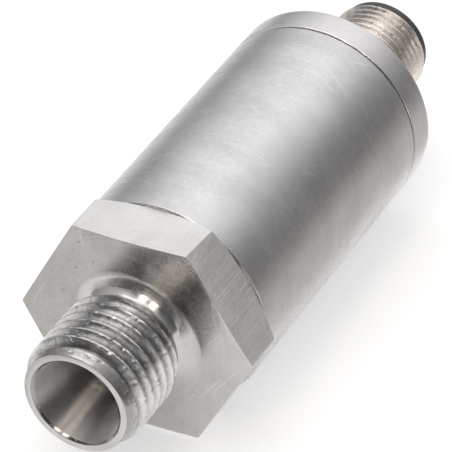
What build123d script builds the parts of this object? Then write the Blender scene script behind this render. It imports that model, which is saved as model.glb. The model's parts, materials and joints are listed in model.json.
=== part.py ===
from build123d import *
from math import cos, radians, sin, sqrt, tan
import os

# Pressure sensor: a cone stud for a compression fitting, a hexagon, a round steel housing and a
# round four-pole plug connector. It lies on its housing with one flat of the hexagon facing up.
# Sizes are in millimetres. A station is a distance along the sensor's axis from the front face of
# the hexagon, positive towards the connector. The finished part's axis runs along +Y.

# General clearances
SLIP = 0.03  # between turned pieces that slide or press together
LOOSE = 0.1  # between moulded or electrical pieces and what holds them
EDGE_BREAK = 0.15  # small chamfer on turned edges

# Stud with an external thread at its full diameter
STUD_LENGTH = 12.75
STUD_THREAD_DIAMETER = 13.86
NOSE_FACE_DIAMETER = 12.15
NOSE_LENGTH = 1.5
NOSE_TAPER = 10.0  # degrees from the axis
RELIEF_DIAMETER = 11.7
RELIEF_START = 1.4  # distance of the relief groove from the hexagon's face
RELIEF_END = 2.95
COLLAR_DIAMETER = 13.0
COLLAR_HEIGHT = 0.7
COLLAR_FOOT_DIAMETER = 15.1

# Cone mouth and pressure channel
TUBE_BORE_DIAMETER = 8.2
TUBE_BORE_DEPTH = 10.0
CONE_MOUTH_DIAMETER = 10.1
CONE_ANGLE = 24.0  # included angle in degrees
MOUTH_BEVEL = 0.28
CHANNEL_DIAMETER = 6.0

# Hexagon
HEX_ACROSS_FLATS = 24.0
HEX_LENGTH = 6.5
HEX_FACE_DIAMETER = 23.1
HEX_FRONT_BEVEL = 7.5  # degrees
HEX_REAR_BEVEL = 30.0  # degrees
WEAR_ON_TOP = 0.35  # how far the worn corner reaches along the top flat
WEAR_ON_SIDE = 1.8  # how far it reaches along the flat beside it
WEAR_LENGTH = 5.4

# Housing tube and the connection's spigot inside it
HOUSING_DIAMETER = 24.8
HOUSING_WALL = 1.4
HOUSING_LENGTH = 37.1
SPIGOT_LENGTH = 7.4
CELL_SEAT_DEPTH = 0.8

# End cap behind a thin joint groove
JOINT_GROOVE_WIDTH = 0.3
JOINT_GROOVE_DEPTH = 0.4
CAP_LENGTH = 3.7
CAP_WALL = 1.8
CAP_SPIGOT_LENGTH = 4.8
CAP_POCKET_STEP = 0.45

# Rubber rings, squeezed to a flattened section
RING_HEIGHT = 1.1
RING_WIDTH = 1.6
RING_SIDE_ROOM = 0.15
FACE_RING_HEIGHT = 1.0

# Round plug connector
CONNECTOR_THREAD_DIAMETER = 11.88
CONNECTOR_THREAD_LENGTH = 13.3
CONNECTOR_THREAD_BEVEL = 0.5
CONNECTOR_COLLAR_STEP = 0.3  # the plain collar in the cap is this much larger than the thread
CONNECTOR_TAIL_STEP = 0.4  # the tail is this much smaller
CONNECTOR_BORE_DIAMETER = 9.8
CONNECTOR_NECK_DIAMETER = 8.2
CONNECTOR_TAIL_LENGTH = 1.8
FLANGE_THICKNESS = 1.2
FLANGE_STEP = 1.65
LOCK_RING_THICKNESS = 2.0
LOCK_SLOT_WIDTH = 1.6
LOCK_SLOT_DEPTH = 0.7
INSERT_RIM_DIAMETER = 11.2
INSERT_RIM_THICKNESS = 0.95
INSERT_BORE_DIAMETER = 8.5
SOCKET_DEPTH = 8.0
SOCKET_FLOOR_THICKNESS = 4.5
KEY_WIDTH = 1.2
KEY_HEIGHT = 0.5
PIN_COUNT = 4
PIN_CIRCLE_DIAMETER = 5.3
PIN_DIAMETER = 1.0
PIN_RECESS = 1.3
PIN_TAIL_LENGTH = 3.2
PIN_COLLAR_DIAMETER = 1.5
PIN_COLLAR_LENGTH = 1.5

# Measuring cell
CELL_FLANGE_DIAMETER = 12.6
CELL_FLANGE_THICKNESS = 1.5
CELL_CUP_DIAMETER = 9.6
CELL_HEIGHT = 7.0
DIAPHRAGM_THICKNESS = 0.7
GAUGE_SIDE = 3.2
GAUGE_THICKNESS = 0.3
GAUGE_PAD_SIDE = 0.6
GAUGE_PAD_THICKNESS = 0.1

# Ring board and its spacer round the cell
CELL_BOARD_INSET = 0.4
CELL_BOARD_THICKNESS = 0.8
SPACER_WALL = 1.8
SPACER_GAP = 0.7

# Board carrier with two slotted rails
CARRIER_GAP = 0.2
CARRIER_RING_LENGTH = 2.2
CARRIER_WALL = 2.1
RAIL_HEIGHT = 4.6
RAIL_SLOT_DEPTH = 1.0

# Amplifier board and its components
BOARD_THICKNESS = 1.0
BOARD_END_GAP = 1.3
CHIP_LENGTH = 5.0
CHIP_WIDTH = 4.0
CHIP_HEIGHT = 1.5
CHIP_STANDOFF = 0.15
LEG_COUNT = 4
LEG_PITCH = 1.2
LEG_WIDTH = 0.4
LEG_REACH = 0.9
CAPACITOR_LENGTH = 2.0
CAPACITOR_WIDTH = 1.25
CAPACITOR_HEIGHT = 1.2
HEADER_PIN_DIAMETER = 0.6
HEADER_PIN_MARGIN = 0.6
HEADER_PIN_OVERLAP = 2.5
WIRE_DIAMETER = 0.9
WIRE_BEND_RADIUS = 1.3
WIRE_PAD_SPACING = 3.6
WIRE_PAD_LENGTH = 2.2
WIRE_EXIT_LENGTH = 1.3

# Radii
STUD_RADIUS = STUD_THREAD_DIAMETER / 2
HOUSING_RADIUS = HOUSING_DIAMETER / 2
HOUSING_BORE_RADIUS = HOUSING_RADIUS - HOUSING_WALL
HEX_CORNER_RADIUS = HEX_ACROSS_FLATS / sqrt(3)
CHANNEL_RADIUS = CHANNEL_DIAMETER / 2
SPIGOT_RADIUS = HOUSING_BORE_RADIUS - SLIP
CONNECTOR_RADIUS = CONNECTOR_THREAD_DIAMETER / 2
COLLAR_RADIUS = CONNECTOR_RADIUS + CONNECTOR_COLLAR_STEP
TAIL_RADIUS = CONNECTOR_RADIUS - CONNECTOR_TAIL_STEP
POCKET_RADIUS = CONNECTOR_RADIUS + FLANGE_STEP
TAPPED_RADIUS = POCKET_RADIUS + CAP_POCKET_STEP
PIN_CIRCLE_RADIUS = PIN_CIRCLE_DIAMETER / 2

# Stations along the axis
STUD_FRONT = -STUD_LENGTH
SPIGOT_END = HEX_LENGTH + SPIGOT_LENGTH
HOUSING_END = HEX_LENGTH + HOUSING_LENGTH
CAP_FRONT = HOUSING_END + JOINT_GROOVE_WIDTH
CAP_END = CAP_FRONT + CAP_LENGTH
CAP_WALL_INSIDE = CAP_END - CAP_WALL
FLANGE_END = CAP_WALL_INSIDE - FACE_RING_HEIGHT
FLANGE_START = FLANGE_END - FLANGE_THICKNESS
LOCK_RING_START = FLANGE_START - LOCK_RING_THICKNESS
CAP_SPIGOT_START = HOUSING_END - CAP_SPIGOT_LENGTH
METAL_END = CAP_END + CONNECTOR_THREAD_LENGTH
CONNECTOR_END = METAL_END + INSERT_RIM_THICKNESS
SOCKET_FLOOR = CONNECTOR_END - SOCKET_DEPTH
INSERT_START = SOCKET_FLOOR - SOCKET_FLOOR_THICKNESS
PIN_TAIL_START = INSERT_START - PIN_TAIL_LENGTH
CELL_START = SPIGOT_END - CELL_SEAT_DEPTH
CELL_END = CELL_START + CELL_HEIGHT
CELL_BOARD_END = CELL_END
CELL_BOARD_START = CELL_BOARD_END - CELL_BOARD_THICKNESS
CARRIER_RING_END = CELL_BOARD_END + CARRIER_RING_LENGTH
CARRIER_END = CAP_SPIGOT_START - LOOSE
BOARD_START = CARRIER_RING_END + LOOSE
BOARD_END = CARRIER_END - BOARD_END_GAP

# Places across the axis
SPACER_RADIUS = HOUSING_BORE_RADIUS - SPACER_GAP
CELL_BOARD_RADIUS = SPACER_RADIUS - CELL_BOARD_INSET
CARRIER_RADIUS = HOUSING_BORE_RADIUS - CARRIER_GAP
RAIL_INNER_RADIUS = CARRIER_RADIUS - CARRIER_WALL
BOARD_WIDTH = 2 * (RAIL_INNER_RADIUS + RAIL_SLOT_DEPTH - LOOSE)
BOARD_TOP = BOARD_THICKNESS / 2

# The part's origin is under the middle of its length, on the line that it lies on
MIDDLE = (STUD_FRONT + CONNECTOR_END) / 2
REST_RADIUS = max(HOUSING_RADIUS, HEX_ACROSS_FLATS / 2)
LYING = Location((0, -MIDDLE, REST_RADIUS))


def turned(points):
    """Turn an outline of (radius, station) points about the sensor's axis."""
    return revolve(make_face(Polyline(*points, close=True)), Axis.Y)


def ring(inner, outer, start, end):
    """Plain ring between two stations."""
    return turned([(inner, start), (outer, start), (outer, end), (inner, end)])


def bevelled_ring(inner, outer, start, end, bevel):
    """Ring with both outer edges broken."""
    return turned([
        (inner, start), (outer - bevel, start), (outer, start + bevel),
        (outer, end - bevel), (outer - bevel, end), (inner, end),
    ])


def rod(diameter, start, end, x=0.0, z=0.0):
    """Round rod along the axis, off to one side by x and z."""
    section = Plane((x, start, z), x_dir=(1, 0, 0), z_dir=(0, 1, 0)) * Circle(diameter / 2)
    return extrude(section, end - start)


def block(width, start, end, low, high, x=0.0):
    """Straight block between two stations and two heights."""
    middle = Location((x, (start + end) / 2, (low + high) / 2))
    return middle * Box(width, end - start, high - low)


def one_solid(shape):
    """Give the single solid that a shape holds."""
    solids = shape.solids()
    if len(solids) != 1:
        raise ValueError(f"expected one solid, found {len(solids)}")
    return solids[0]


def rubber_ring(inner, outer, start, end):
    """Rubber ring squeezed flat against its walls, with broad bevels where it bulges free."""
    bevel = 0.3 * min(outer - inner, end - start)
    return turned([
        (inner + bevel, start), (outer - bevel, start), (outer, start + bevel),
        (outer, end - bevel), (outer - bevel, end), (inner + bevel, end),
        (inner, end - bevel), (inner, start + bevel),
    ])


def ring_groove_width():
    """Width of a groove that holds a rubber ring."""
    return RING_WIDTH + 2 * RING_SIDE_ROOM


def stud():
    """Turned stud with a plain nose, a thread at full diameter, a relief and a small collar."""
    nose_radius = NOSE_FACE_DIAMETER / 2
    nose_end = STUD_FRONT + NOSE_LENGTH
    nose_end_radius = nose_radius + NOSE_LENGTH * tan(radians(NOSE_TAPER))
    thread_bevel = STUD_RADIUS - nose_end_radius
    relief_radius = RELIEF_DIAMETER / 2
    flank = (STUD_RADIUS - relief_radius) * tan(radians(30))
    return turned([
        (0, STUD_FRONT),
        (nose_radius, STUD_FRONT),
        (nose_end_radius, nose_end),
        (STUD_RADIUS, nose_end + thread_bevel),
        (STUD_RADIUS, -RELIEF_END),
        (relief_radius, -RELIEF_END + flank),
        (relief_radius, -RELIEF_START),
        (COLLAR_DIAMETER / 2, -COLLAR_HEIGHT),
        (COLLAR_FOOT_DIAMETER / 2, 0),
        (COLLAR_FOOT_DIAMETER / 2, HEX_LENGTH / 2),
        (0, HEX_LENGTH / 2),
    ])


def hexagon():
    """Hexagon with a slight cone outside its turned face and a bevel behind."""
    across = Plane((0, 0, 0), x_dir=(1, 0, 0), z_dir=(0, 1, 0))
    prism = extrude(across * RegularPolygon(HEX_ACROSS_FLATS / 2, 6, major_radius=False), HEX_LENGTH)
    face_radius = HEX_FACE_DIAMETER / 2
    flat_radius = HEX_ACROSS_FLATS / 2
    outside = HEX_CORNER_RADIUS + 1
    front_drop = (outside - face_radius) * tan(radians(HEX_FRONT_BEVEL))
    rear_drop = (outside - flat_radius) * tan(radians(HEX_REAR_BEVEL))
    bevels = turned([
        (0, 0),
        (face_radius, 0),
        (outside, front_drop),
        (outside, HEX_LENGTH - rear_drop),
        (flat_radius, HEX_LENGTH),
        (0, HEX_LENGTH),
    ])
    return (prism & bevels) - worn_corner()


def worn_corner():
    """Wedge knocked off the upper corner on the +X side, deepest at the front face."""
    half_flat = HEX_CORNER_RADIUS / 2
    corner_height = HEX_ACROSS_FLATS / 2
    on_top = Vector(half_flat - WEAR_ON_TOP, 0, corner_height)
    down_side = Vector(WEAR_ON_SIDE * cos(radians(60)), 0, -WEAR_ON_SIDE * sin(radians(60)))
    on_side = Vector(half_flat, 0, corner_height) + down_side
    at_rear = Vector(half_flat, WEAR_LENGTH, corner_height)
    outward = (on_side - on_top).cross(at_rear - on_top)
    if outward.X < 0:
        outward = -outward
    facet = Plane(on_top, x_dir=at_rear - on_top, z_dir=outward)
    size = 2 * HEX_LENGTH
    return extrude(facet * Rectangle(size, size), size)


def pressure_bore():
    """Space inside the stud: entry bevel, cone, tube seat and pressure channel."""
    bore_radius = TUBE_BORE_DIAMETER / 2
    mouth_radius = CONE_MOUTH_DIAMETER / 2
    cone_end = STUD_FRONT + MOUTH_BEVEL + (mouth_radius - bore_radius) / tan(radians(CONE_ANGLE / 2))
    return turned([
        (0, STUD_FRONT - 1),
        (mouth_radius + MOUTH_BEVEL + 1, STUD_FRONT - 1),
        (mouth_radius, STUD_FRONT + MOUTH_BEVEL),
        (bore_radius, cone_end),
        (bore_radius, STUD_FRONT + TUBE_BORE_DEPTH),
        (CHANNEL_RADIUS, STUD_FRONT + TUBE_BORE_DEPTH),
        (CHANNEL_RADIUS, SPIGOT_END + 1),
        (0, SPIGOT_END + 1),
    ])


def process_connection():
    """Stud, hexagon and spigot, turned from one bar."""
    groove_middle = HEX_LENGTH + SPIGOT_LENGTH / 2
    groove_floor = HOUSING_BORE_RADIUS - RING_HEIGHT
    spigot = bevelled_ring(0, SPIGOT_RADIUS, HEX_LENGTH / 2, SPIGOT_END, EDGE_BREAK)
    groove = ring(
        groove_floor, SPIGOT_RADIUS + 1,
        groove_middle - ring_groove_width() / 2, groove_middle + ring_groove_width() / 2)
    cell_seat = ring(0, CELL_FLANGE_DIAMETER / 2 + SLIP, CELL_START, SPIGOT_END + 1)
    return one_solid(stud() + hexagon() + spigot - groove - cell_seat - pressure_bore())


def tube_o_ring():
    """Rubber ring in the spigot's groove, against the housing's bore."""
    middle = HEX_LENGTH + SPIGOT_LENGTH / 2
    return rubber_ring(
        HOUSING_BORE_RADIUS - RING_HEIGHT + SLIP, HOUSING_BORE_RADIUS - SLIP,
        middle - RING_WIDTH / 2, middle + RING_WIDTH / 2)


def housing_tube():
    """Steel sleeve from the hexagon to the joint groove."""
    return bevelled_ring(HOUSING_BORE_RADIUS, HOUSING_RADIUS, HEX_LENGTH, HOUSING_END, EDGE_BREAK)


def end_cap():
    """Cap with a spigot inside the housing, a ring groove and a pocket for the connector."""
    neck_radius = HOUSING_RADIUS - JOINT_GROOVE_DEPTH
    hole_radius = COLLAR_RADIUS + SLIP
    body = turned([
        (hole_radius, CAP_SPIGOT_START),
        (SPIGOT_RADIUS - EDGE_BREAK, CAP_SPIGOT_START),
        (SPIGOT_RADIUS, CAP_SPIGOT_START + EDGE_BREAK),
        (SPIGOT_RADIUS, HOUSING_END),
        (neck_radius, HOUSING_END),
        (neck_radius, CAP_FRONT),
        (HOUSING_RADIUS - EDGE_BREAK, CAP_FRONT),
        (HOUSING_RADIUS, CAP_FRONT + EDGE_BREAK),
        (HOUSING_RADIUS, CAP_END - EDGE_BREAK),
        (HOUSING_RADIUS - EDGE_BREAK, CAP_END),
        (hole_radius, CAP_END),
    ])
    pocket = ring(0, POCKET_RADIUS, FLANGE_START, CAP_WALL_INSIDE)
    tapped = ring(0, TAPPED_RADIUS, CAP_SPIGOT_START - 1, FLANGE_START)
    groove_start = cap_groove_middle() - ring_groove_width() / 2
    groove = ring(
        HOUSING_BORE_RADIUS - RING_HEIGHT, SPIGOT_RADIUS + 1,
        groove_start, groove_start + ring_groove_width())
    return one_solid(body - pocket - tapped - groove)


def cap_groove_middle():
    """Station of the middle of the cap's ring groove."""
    return HOUSING_END - CAP_SPIGOT_LENGTH / 2


def cap_o_ring():
    """Rubber ring on the cap's spigot."""
    return rubber_ring(
        HOUSING_BORE_RADIUS - RING_HEIGHT + SLIP, HOUSING_BORE_RADIUS - SLIP,
        cap_groove_middle() - RING_WIDTH / 2, cap_groove_middle() + RING_WIDTH / 2)


def connector_shell():
    """Plated shell with an outside thread at full diameter, a collar and flange in the cap."""
    bevel = CONNECTOR_THREAD_BEVEL
    bore_radius = CONNECTOR_BORE_DIAMETER / 2
    neck_radius = CONNECTOR_NECK_DIAMETER / 2
    tail_start = FLANGE_START - CONNECTOR_TAIL_LENGTH
    return turned([
        (neck_radius, tail_start),
        (TAIL_RADIUS, tail_start),
        (TAIL_RADIUS, FLANGE_START),
        (POCKET_RADIUS - SLIP, FLANGE_START),
        (POCKET_RADIUS - SLIP, FLANGE_END),
        (COLLAR_RADIUS, FLANGE_END),
        (COLLAR_RADIUS, CAP_END),
        (CONNECTOR_RADIUS, CAP_END),
        (CONNECTOR_RADIUS, METAL_END - bevel),
        (CONNECTOR_RADIUS - bevel, METAL_END),
        (bore_radius, METAL_END),
        (bore_radius, INSERT_START),
        (neck_radius, INSERT_START),
    ])


def connector_o_ring():
    """Rubber ring between the shell's flange and the inside of the cap."""
    return rubber_ring(
        COLLAR_RADIUS + SLIP, POCKET_RADIUS - SLIP, FLANGE_END + SLIP, CAP_WALL_INSIDE - SLIP)


def connector_lock_ring():
    """Slotted ring nut that holds the shell's flange in the cap."""
    outer = TAPPED_RADIUS - SLIP
    nut = bevelled_ring(TAIL_RADIUS + LOOSE, outer, LOCK_RING_START, FLANGE_START, EDGE_BREAK)
    slot = block(2 * outer + 1, LOCK_RING_START - 1, LOCK_RING_START + LOCK_SLOT_DEPTH,
                 -LOCK_SLOT_WIDTH / 2, LOCK_SLOT_WIDTH / 2)
    return one_solid(nut - slot)


def pin_places():
    """Places of the contact pins across the axis, from +X round towards +Z."""
    turns = [360 * index / PIN_COUNT for index in range(PIN_COUNT)]
    return [
        (PIN_CIRCLE_RADIUS * cos(radians(turn)), PIN_CIRCLE_RADIUS * sin(radians(turn)))
        for turn in turns
    ]


def connector_insert():
    """Moulded insert: rim over the shell's end, open socket with a key rib, pin holes."""
    outer = CONNECTOR_BORE_DIAMETER / 2 - SLIP
    rim = INSERT_RIM_DIAMETER / 2
    bore = INSERT_BORE_DIAMETER / 2
    rounding = INSERT_RIM_THICKNESS / 4
    cup = turned([
        (0, INSERT_START),
        (outer, INSERT_START),
        (outer, METAL_END),
        (rim, METAL_END),
        (rim, CONNECTOR_END - rounding),
        (rim - rounding, CONNECTOR_END),
        (bore + rounding, CONNECTOR_END),
        (bore, CONNECTOR_END - rounding),
        (bore, SOCKET_FLOOR),
        (0, SOCKET_FLOOR),
    ])
    key_block = block(
        KEY_WIDTH, SOCKET_FLOOR, CONNECTOR_END - PIN_RECESS, bore - KEY_HEIGHT, (bore + outer) / 2)
    key = Rotation(0, 45, 0) * key_block
    for x, z in pin_places():
        cup -= rod(PIN_DIAMETER + 2 * SLIP, INSERT_START - 1, SOCKET_FLOOR + 1, x, z)
        cup -= rod(PIN_COLLAR_DIAMETER + 2 * SLIP, INSERT_START - 1,
                   INSERT_START + PIN_COLLAR_LENGTH, x, z)
    return one_solid(cup + key)


def contact_pin(x, z):
    """Pin with a bevelled tip, a collar seated in the insert and a solder tail."""
    tip = CONNECTOR_END - PIN_RECESS
    shank = rod(PIN_DIAMETER, PIN_TAIL_START, tip, x, z)
    shank = chamfer(shank.edges().sort_by(Axis.Y)[-1], PIN_DIAMETER / 4)
    collar = rod(PIN_COLLAR_DIAMETER, INSERT_START, INSERT_START + PIN_COLLAR_LENGTH - SLIP, x, z)
    return one_solid(shank + collar)


def measuring_cell():
    """Steel cup with a thin diaphragm, welded by its flange over the pressure channel."""
    flange_radius = CELL_FLANGE_DIAMETER / 2
    cup_radius = CELL_CUP_DIAMETER / 2
    return turned([
        (CHANNEL_RADIUS, CELL_START),
        (flange_radius, CELL_START),
        (flange_radius, CELL_START + CELL_FLANGE_THICKNESS),
        (cup_radius, CELL_START + CELL_FLANGE_THICKNESS),
        (cup_radius, CELL_END - EDGE_BREAK),
        (cup_radius - EDGE_BREAK, CELL_END),
        (0, CELL_END),
        (0, CELL_END - DIAPHRAGM_THICKNESS),
        (CHANNEL_RADIUS, CELL_END - DIAPHRAGM_THICKNESS),
    ])


def gauge_bridge():
    """Strain gauge chip on the diaphragm, with a contact pad near each corner."""
    half = GAUGE_SIDE / 2
    chip_end = CELL_END + GAUGE_THICKNESS
    chip = block(GAUGE_SIDE, CELL_END, chip_end, -half, half)
    inset = half - GAUGE_PAD_SIDE
    for x in (-inset, inset):
        for z in (-inset, inset):
            low = z - GAUGE_PAD_SIDE / 2
            chip += block(GAUGE_PAD_SIDE, chip_end, chip_end + GAUGE_PAD_THICKNESS,
                          low, low + GAUGE_PAD_SIDE, x)
    return one_solid(chip)


def header_pin_places():
    """Sideways places of the four header pins, two on each side of the cell."""
    outer = RAIL_INNER_RADIUS - HEADER_PIN_DIAMETER
    inner = CELL_CUP_DIAMETER / 2 + LOOSE + HEADER_PIN_MARGIN + HEADER_PIN_DIAMETER / 2
    return (-outer, -inner, inner, outer)


def header_pin_height():
    """Height of the header pins above the axis, so that they lie on the board."""
    return BOARD_TOP + HEADER_PIN_DIAMETER / 2


def header_pin(x):
    """Straight pin from the ring board onto the amplifier board."""
    return one_solid(rod(
        HEADER_PIN_DIAMETER, CELL_BOARD_START, BOARD_START + HEADER_PIN_OVERLAP,
        x, header_pin_height()))


def cell_board():
    """Ring board round the cell, drilled for the header pins."""
    board = ring(
        CELL_CUP_DIAMETER / 2 + LOOSE, CELL_BOARD_RADIUS, CELL_BOARD_START, CELL_BOARD_END)
    for x in header_pin_places():
        board -= rod(HEADER_PIN_DIAMETER + 2 * SLIP, CELL_BOARD_START - 1, CELL_BOARD_END + 1,
                     x, header_pin_height())
    return one_solid(board)


def cell_spacer():
    """Moulded ring between the connection's spigot and the ring board."""
    inner = SPACER_RADIUS - SPACER_WALL
    base = SPIGOT_END + CELL_FLANGE_THICKNESS - CELL_SEAT_DEPTH
    return turned([
        (CELL_FLANGE_DIAMETER / 2 + LOOSE, SPIGOT_END),
        (SPACER_RADIUS, SPIGOT_END),
        (SPACER_RADIUS, CELL_BOARD_START),
        (inner, CELL_BOARD_START),
        (inner, base),
        (CELL_FLANGE_DIAMETER / 2 + LOOSE, base),
    ])


def board_carrier():
    """Moulded ring on the ring board, with two slotted rails that hold the amplifier board."""
    wall = ring(RAIL_INNER_RADIUS, CARRIER_RADIUS, CELL_BOARD_END, CARRIER_END)
    between_rails = block(3 * CARRIER_RADIUS, CARRIER_RING_END, CARRIER_END + 1,
                          RAIL_HEIGHT / 2, 2 * CARRIER_RADIUS)
    slot_width = BOARD_WIDTH + 2 * LOOSE
    slot = block(slot_width, CARRIER_RING_END, CARRIER_END + 1,
                 -BOARD_TOP - SLIP, BOARD_TOP + SLIP)
    return one_solid(wall - between_rails - mirror(between_rails, Plane.XY) - slot)


def circuit_board():
    """Amplifier board held along the axis between the rails."""
    board = block(BOARD_WIDTH, BOARD_START, BOARD_END, -BOARD_TOP, BOARD_TOP)
    return one_solid(chamfer(board.edges().filter_by(Axis.Z), LOOSE))


def amplifier_chip():
    """Moulded amplifier with two rows of bent legs on the board."""
    middle = (BOARD_START + BOARD_END) / 2
    underside = BOARD_TOP + CHIP_STANDOFF
    body = block(CHIP_WIDTH, middle - CHIP_LENGTH / 2, middle + CHIP_LENGTH / 2,
                 underside, BOARD_TOP + CHIP_HEIGHT)
    chip = chamfer(body.edges().group_by(Axis.Z)[-1], CHIP_STANDOFF)
    leg_height = underside + (CHIP_HEIGHT - CHIP_STANDOFF) / 2
    foot = CHIP_WIDTH / 2 + LEG_REACH
    for side in (-1, 1):
        for index in range(LEG_COUNT):
            station = middle + (index - (LEG_COUNT - 1) / 2) * LEG_PITCH
            start = station - LEG_WIDTH / 2
            arm_x = side * (CHIP_WIDTH / 2 + LEG_REACH / 4)
            chip += block(LEG_REACH / 2 + LEG_WIDTH, start, start + LEG_WIDTH,
                          leg_height - LEG_WIDTH / 2, leg_height, arm_x)
            shin_x = side * (CHIP_WIDTH / 2 + LEG_REACH / 2)
            chip += block(LEG_WIDTH / 2, start, start + LEG_WIDTH, BOARD_TOP, leg_height, shin_x)
            foot_x = side * (foot - LEG_REACH / 4)
            chip += block(LEG_REACH / 2, start, start + LEG_WIDTH,
                          BOARD_TOP, BOARD_TOP + CHIP_STANDOFF, foot_x)
    return one_solid(chip)


def capacitor(side):
    """Small ceramic block on the board, midway between the amplifier's feet and a rail."""
    middle = (BOARD_START + BOARD_END) / 2
    midway = (CHIP_WIDTH / 2 + LEG_REACH + RAIL_INNER_RADIUS) / 2
    body = block(CAPACITOR_WIDTH, middle - CAPACITOR_LENGTH / 2, middle + CAPACITOR_LENGTH / 2,
                 BOARD_TOP, BOARD_TOP + CAPACITOR_HEIGHT, side * midway)
    return one_solid(chamfer(body.edges().group_by(Axis.Z)[-1], LOOSE))


def connector_wire(x, z):
    """Insulated lead from a pin's tail to its pad at the board's rear edge."""
    above = z > -PIN_CIRCLE_RADIUS / 2
    side = 1 if above else -1
    pad_height = side * (BOARD_TOP + WIRE_DIAMETER / 2)
    pad_x = x / PIN_CIRCLE_RADIUS * WIRE_PAD_SPACING
    pad_start = BOARD_END - WIRE_PAD_LENGTH
    route = FilletPolyline(
        (x, PIN_TAIL_START, z),
        (x, PIN_TAIL_START - WIRE_EXIT_LENGTH, z),
        (pad_x, BOARD_END + WIRE_EXIT_LENGTH, pad_height),
        (pad_x, pad_start, pad_height),
        radius=WIRE_BEND_RADIUS)
    start = Plane((x, PIN_TAIL_START, z), x_dir=(1, 0, 0), z_dir=(0, -1, 0))
    return one_solid(sweep(start * Circle(WIRE_DIAMETER / 2), path=route))


def pieces():
    """Every separate piece by name."""
    made = {
        "process_connection": process_connection(),
        "housing_tube": housing_tube(),
        "end_cap": end_cap(),
        "connector_shell": connector_shell(),
        "connector_insert": connector_insert(),
        "connector_lock_ring": connector_lock_ring(),
        "connector_o_ring": connector_o_ring(),
        "cap_o_ring": cap_o_ring(),
        "tube_o_ring": tube_o_ring(),
        "measuring_cell": measuring_cell(),
        "gauge_bridge": gauge_bridge(),
        "cell_spacer": cell_spacer(),
        "cell_board": cell_board(),
        "board_carrier": board_carrier(),
        "circuit_board": circuit_board(),
        "amplifier_chip": amplifier_chip(),
        "capacitor_1": capacitor(-1),
        "capacitor_2": capacitor(1),
    }
    for number, (x, z) in enumerate(pin_places(), start=1):
        made[f"contact_pin_{number}"] = contact_pin(x, z)
        made[f"connector_wire_{number}"] = connector_wire(x, z)
    for number, x in enumerate(header_pin_places(), start=1):
        made[f"header_pin_{number}"] = header_pin(x)
    return made


os.makedirs("parts", exist_ok=True)
for name, piece in pieces().items():
    export_step(LYING * piece, f"parts/{name}.step")
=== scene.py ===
import json
import logging
import math
from dataclasses import dataclass
from enum import Enum
from functools import reduce
from typing import ClassVar, Sequence

import bmesh
import bpy
from mathutils import Matrix, Vector, noise


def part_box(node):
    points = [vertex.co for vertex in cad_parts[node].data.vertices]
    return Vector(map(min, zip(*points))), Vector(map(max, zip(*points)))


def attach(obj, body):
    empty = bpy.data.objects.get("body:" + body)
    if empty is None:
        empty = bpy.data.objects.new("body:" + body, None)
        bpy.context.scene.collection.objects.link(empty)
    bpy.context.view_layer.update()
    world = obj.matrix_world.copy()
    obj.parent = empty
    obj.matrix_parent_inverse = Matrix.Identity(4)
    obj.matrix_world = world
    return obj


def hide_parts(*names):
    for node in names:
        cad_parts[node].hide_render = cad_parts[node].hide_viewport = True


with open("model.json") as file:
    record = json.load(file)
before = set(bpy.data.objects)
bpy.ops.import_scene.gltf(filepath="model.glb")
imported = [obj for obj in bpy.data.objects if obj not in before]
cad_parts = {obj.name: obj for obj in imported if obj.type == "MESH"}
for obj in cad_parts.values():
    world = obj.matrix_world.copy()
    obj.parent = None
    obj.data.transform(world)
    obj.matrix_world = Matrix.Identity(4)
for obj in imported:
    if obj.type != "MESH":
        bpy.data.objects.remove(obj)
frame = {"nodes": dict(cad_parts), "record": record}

# The sensor is modelled in millimetres about the Y axis. A station is the distance along that axis
# from the front face of the hexagon, positive towards the connector, and an angle round the axis is
# measured from straight up towards +X. Each finished mesh is then settled into the frame, in metres.

log = logging.getLogger("pressure_sensor")

MILLIMETRE = 0.001
MICROMETRE = 0.000001
COLUMNS = 288
FULL_TURN = 2 * math.pi
MERGE_DISTANCE = 0.0005
ROUNDING_SEGMENTS = 3
SHARP_ANGLE = 32.0
CUT_TOLERANCE = 0.0001
SIXTH_TURN = math.pi / 3
HEX_LENGTH = 6.5
HOUSING_WALL = 1.4
SLIDING_FIT = 0.03
SKY_STRENGTH = 8.0
NOISE_RANGE = (0.3, 0.7)  # where most values of a noise texture lie

Link = bpy.types.NodeSocket
Pair = tuple[float, float]
Triple = tuple[float, float, float]
Colour = tuple[float, float, float, float]


def grey(tone: float, warmth: float = 0.0) -> Colour:
    """Give a grey of some tone, warmer or cooler by a small amount."""
    return (tone * (1 + warmth), tone, tone * (1 - warmth), 1.0)


@dataclass(frozen=True)
class Corner:
    """A point of an outline to be turned: radius, station and how far the corner is rounded."""

    radius: float
    station: float
    rounding: float = 0.0


class Seat:
    """Where the sensor lies in the frame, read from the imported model's boxes."""

    def __init__(self) -> None:
        """Read the axis height and the place of the hexagon's front face."""
        low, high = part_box("housing_tube")
        self.axis_height = (low.z + high.z) / 2
        self.face_place = low.y - HEX_LENGTH * MILLIMETRE

    def station(self, node: str, at_end: bool) -> float:
        """Find the station of a node's front, or of its end towards the connector."""
        low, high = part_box(node)
        return ((high if at_end else low).y - self.face_place) / MILLIMETRE

    def radius(self, node: str) -> float:
        """Find the outside radius of a turned node in millimetres."""
        low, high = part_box(node)
        return (high.x - low.x) / 2 / MILLIMETRE

    def spigot(self) -> float:
        """Find the radius of a spigot that slides into the housing tube."""
        return self.radius("housing_tube") - HOUSING_WALL - SLIDING_FIT

    def settle(self, bm: bmesh.types.BMesh) -> None:
        """Bring a mesh from millimetres about the axis to metres in the frame."""
        bmesh.ops.scale(bm, vec=(MILLIMETRE,) * 3, verts=bm.verts)
        bmesh.ops.translate(bm, vec=(0.0, self.face_place, self.axis_height), verts=bm.verts)


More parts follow.
